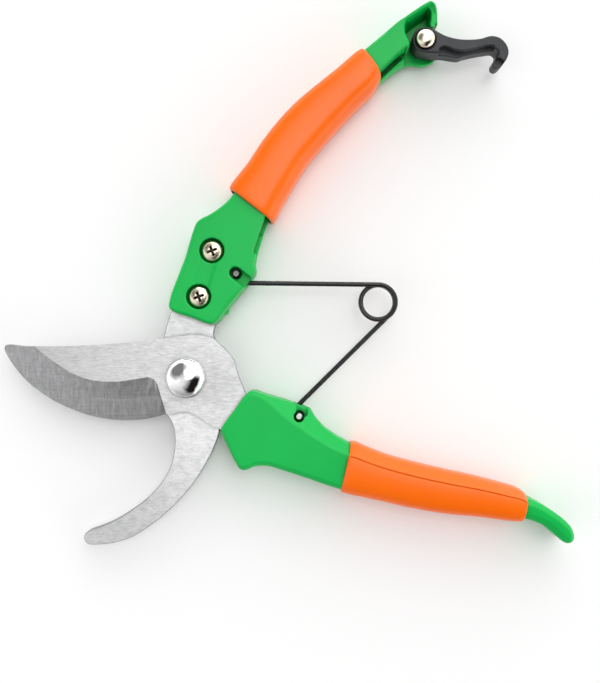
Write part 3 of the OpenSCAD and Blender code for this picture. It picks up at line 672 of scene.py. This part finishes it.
def sleeve(name, outside, inside, top, body):
    """A tube of sections across two side curves, with an inner wall and thinned lips."""
    length = along(inside, [0])[1]
    ends = [m / length for m, _ in LIP]
    middle = list(np.linspace(ends[-1], 1 - ends[-1], SLEEVE_RINGS))
    shares = ends[:-1] + middle + [1 - e for e in reversed(ends[:-1])]
    lips = [i for _, i in LIP[:-1]] + [0] * len(middle) + [i for _, i in reversed(LIP[:-1])]
    a, b = along(outside, shares)[0], along(inside, shares)[0]
    section = np.array(top + UNDERSIDE)

    def ring(k, inset):
        width = np.linalg.norm(b[k] - a[k])
        v = 0.5 + (section[:, 0] - 0.5) * (1 - 2 * inset / width)
        z = section[:, 1] * (1 - inset / GRIP_HALF) * GRIP_HALF
        xy = a[k] + (b[k] - a[k]) * v[:, None]
        return [(x, y, MID + h) for (x, y), h in zip(xy, z)]

    count = len(shares)
    rings = [ring(k, lips[k]) for k in range(count)]
    rings += [ring(k, max(WALL, lips[k])) for k in reversed(range(count))]
    n, m = len(rings[0]), len(rings)
    faces = [(k * n + i, k * n + (i + 1) % n, (k + 1) % m * n + (i + 1) % n,
              (k + 1) % m * n + i) for k in range(m) for i in range(n)]
    obj = new_object(name + "_vinyl", [v for r in rings for v in r], faces)
    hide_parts(name)
    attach(dress(obj, orange), body)


sleeve("upper_grip", UPPER_OUTSIDE, UPPER_INSIDE, ROUNDED, "upper_arm")
sleeve("lower_grip", LOWER_OUTSIDE, LOWER_INSIDE, RIDGED, "lower_arm")

# ---------------------------------------------------------------- spring
UPPER_PIN, LOWER_PIN, COIL = (16.6, 34.4), (37.4, -12.7), (63.7, 25.1)
COIL_R, WIRE_R, LEG_Z, UPPER_EYE, LOWER_EYE = 5.75, 0.8, 1.45, 3.0, 2.6
EYE_ARC, EYE_STEP, COIL_POINTS = 300, 10, 84    # degrees, degrees, points round the coil


def on_circle(centre, r, degrees, z):
    a = math.radians(degrees)
    return (centre[0] + r * math.cos(a), centre[1] + r * math.sin(a), z)


def leg_direction(start, end, radii, sign):
    """Direction, in degrees, of a straight leg that touches two circles on opposite sides."""
    dx, dy = end[0] - start[0], end[1] - start[1]
    return math.degrees(math.atan2(dy, dx) + sign * math.asin(radii / math.hypot(dx, dy)))


to_upper = leg_direction(UPPER_PIN, COIL, UPPER_EYE + COIL_R, 1)
to_lower = leg_direction(COIL, LOWER_PIN, LOWER_EYE + COIL_R, -1)
turn = (to_upper - to_lower + 1080) % 360 + 360
route = [on_circle(UPPER_PIN, UPPER_EYE, to_upper - 90 - a, MID + LEG_Z)
         for a in np.arange(EYE_ARC, -1, -EYE_STEP)]
route += [on_circle(COIL, COIL_R, to_upper + 90 - t, MID + LEG_Z - 2 * LEG_Z * t / turn)
          for t in np.linspace(0, turn, COIL_POINTS)]
route += [on_circle(LOWER_PIN, LOWER_EYE, to_lower - 90 + a, MID - LEG_Z)
          for a in np.arange(0, EYE_ARC + 1, EYE_STEP)]


def tube(name, path, r, sides=20):
    """A round wire of radius r that follows the path."""
    path = np.array(path)
    rings = []
    for k in range(len(path)):
        t = path[min(k + 1, len(path) - 1)] - path[max(k - 1, 0)]
        t /= np.linalg.norm(t)
        s = np.array([t[1], -t[0], 0]) / math.hypot(t[0], t[1])
        v = np.cross(s, t)
        rings.append([path[k] + (s * math.cos(a) + v * math.sin(a)) * r
                      for a in np.linspace(0, 2 * math.pi, sides, endpoint=False)])
    return loft(name, rings)


def denser(path, step=2.0):
    """Adds points along the straight legs, so that the bend can be shared out along them."""
    out = [path[0]]
    for a, b in zip(path, path[1:]):
        n = max(1, int(math.dist(a, b) / step))
        out += [tuple(np.array(a) + (np.array(b) - np.array(a)) * k / n) for k in range(1, n + 1)]
    return out


spring = dress(tube("spring_wire", denser(route), WIRE_R), wire_black)
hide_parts("spring_upper_leg", "spring_lower_leg")
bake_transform(spring)

# ---------------------------------------------------------------- floor and light
bpy.ops.mesh.primitive_plane_add(size=6, location=(0, 0, -0.00002))
floor = bpy.context.object
floor.name = "floor"
floor_mat, tree, bsdf = shader("floor_white", Roughness=0.9)
bsdf.inputs["Base Color"].default_value = (0.97, 0.97, 0.97, 1)
bsdf.inputs["Specular IOR Level"].default_value = 0.1
dress(floor, floor_mat)

world = bpy.data.worlds.new("studio")
bpy.context.scene.world = world
world.use_nodes = True
WORLD_BASE = 1.07
WORLD_STRENGTH = 1.09
WOBBLE = 0.34        # how far noise bends a direction
# direction (towards the patch), cosine where it begins and where it is full, brightness there
PATCHES = [((0, 0.9, 0.30), 0.35, 0.95, 1.8), ((0, -0.95, 0.25), 0.40, 0.98, 0.32),
           ((0.0, -0.1, 1), 0.90, 0.985, 0.80), ((0.40, -0.46, 0.79), 0.80, 0.93, 0.01),
           ((-0.48, 0.42, 0.77), 0.84, 0.945, 0.20), ((0.85, -0.45, 0.20), 0.75, 0.96, 1.7),
           ((0.14, 0.20, 0.97), 0.950, 0.988, 3.4)]
tree = world.node_tree
straight = node(tree, "TexCoord").outputs["Generated"]
# a little disorder in the edges of the patches, as a room has
wobble = node(tree, "TexNoise", Scale=2.2, Detail=2)
tree.links.new(straight, wobble.inputs["Vector"])
shift = node(tree, "VectorMath", operation="MULTIPLY_ADD")
tree.links.new(wobble.outputs["Color"], shift.inputs[0])
shift.inputs[1].default_value = (WOBBLE,) * 3
shift.inputs[2].default_value = (-WOBBLE / 2,) * 3
bent = node(tree, "VectorMath", operation="ADD")
tree.links.new(straight, bent.inputs[0])
tree.links.new(shift.outputs["Vector"], bent.inputs[1])
unit = node(tree, "VectorMath", operation="NORMALIZE")
tree.links.new(bent.outputs["Vector"], unit.inputs[0])
seen = unit.outputs["Vector"]
level = None
for aim, begins, full, value in PATCHES:
    dot = node(tree, "VectorMath", operation="DOT_PRODUCT")
    tree.links.new(seen, dot.inputs[0])
    dot.inputs[1].default_value = Vector(aim).normalized()
    share = spread(tree, dot.outputs["Value"], 0, 1, begins, full)
    level = mixed(tree, share, (WORLD_BASE,) * 3 if level is None else level, (value,) * 3)
tree.links.new(level, tree.nodes["Background"].inputs["Color"])
tree.nodes["Background"].inputs["Strength"].default_value = WORLD_STRENGTH
bpy.context.scene.view_settings.view_transform = "Standard"

CENTRE, SOFTBOX_AT = Vector((0.035, 0.02, 0.008)), Vector((0.15, 0.75, 0.25))
data = bpy.data.lights.new("far_side", "AREA")
data.shape, data.size, data.size_y, data.energy = "RECTANGLE", 0.9, 0.3, 0.6
softbox = bpy.data.objects.new("far_side", data)
softbox.location = SOFTBOX_AT
softbox.rotation_euler = (CENTRE - SOFTBOX_AT).to_track_quat("-Z", "Y").to_euler()
bpy.context.collection.objects.link(softbox)
